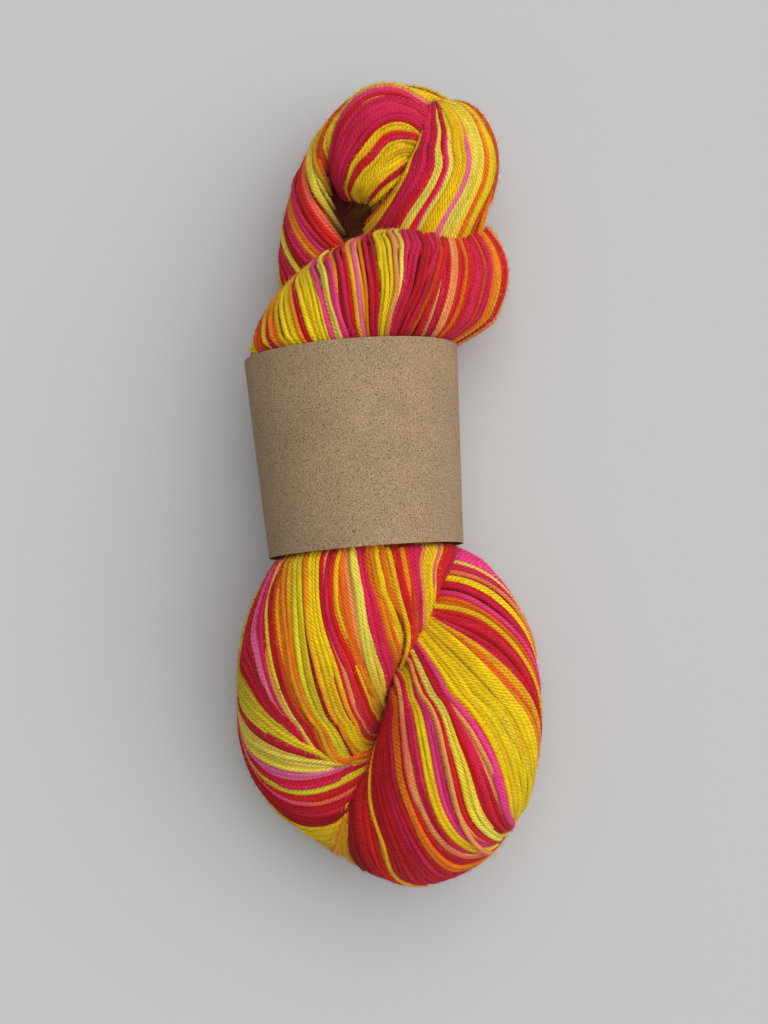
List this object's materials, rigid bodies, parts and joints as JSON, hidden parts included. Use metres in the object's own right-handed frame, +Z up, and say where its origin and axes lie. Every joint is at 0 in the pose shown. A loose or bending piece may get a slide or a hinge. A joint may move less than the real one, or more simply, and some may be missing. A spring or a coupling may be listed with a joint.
{
  "type": "hank of yarn",
  "caption": "Twisted hank of variegated fingering yarn in yellow, pink, red and orange, tucked through its own end loop, with a plain kraft paper band round its waist.",
  "frame": {"origin": "middle of the hank's outline, on the surface that it lies on", "axes": "+Y along the hank towards its tucked knot, +X across it, +Z up"},
  "size_m": [0.0889, 0.2397, 0.0638],
  "materials": {
    "yarn": "soft matte plied wool, hand dyed in short runs of yellow, pink, red and orange",
    "kraft_paper": "matte brown kraft paper with fine dark flecks"
  },
  "bodies": {
    "root": {"yarn_hank": "yarn", "label_band": "kraft_paper"}
  },
  "joints": []
}
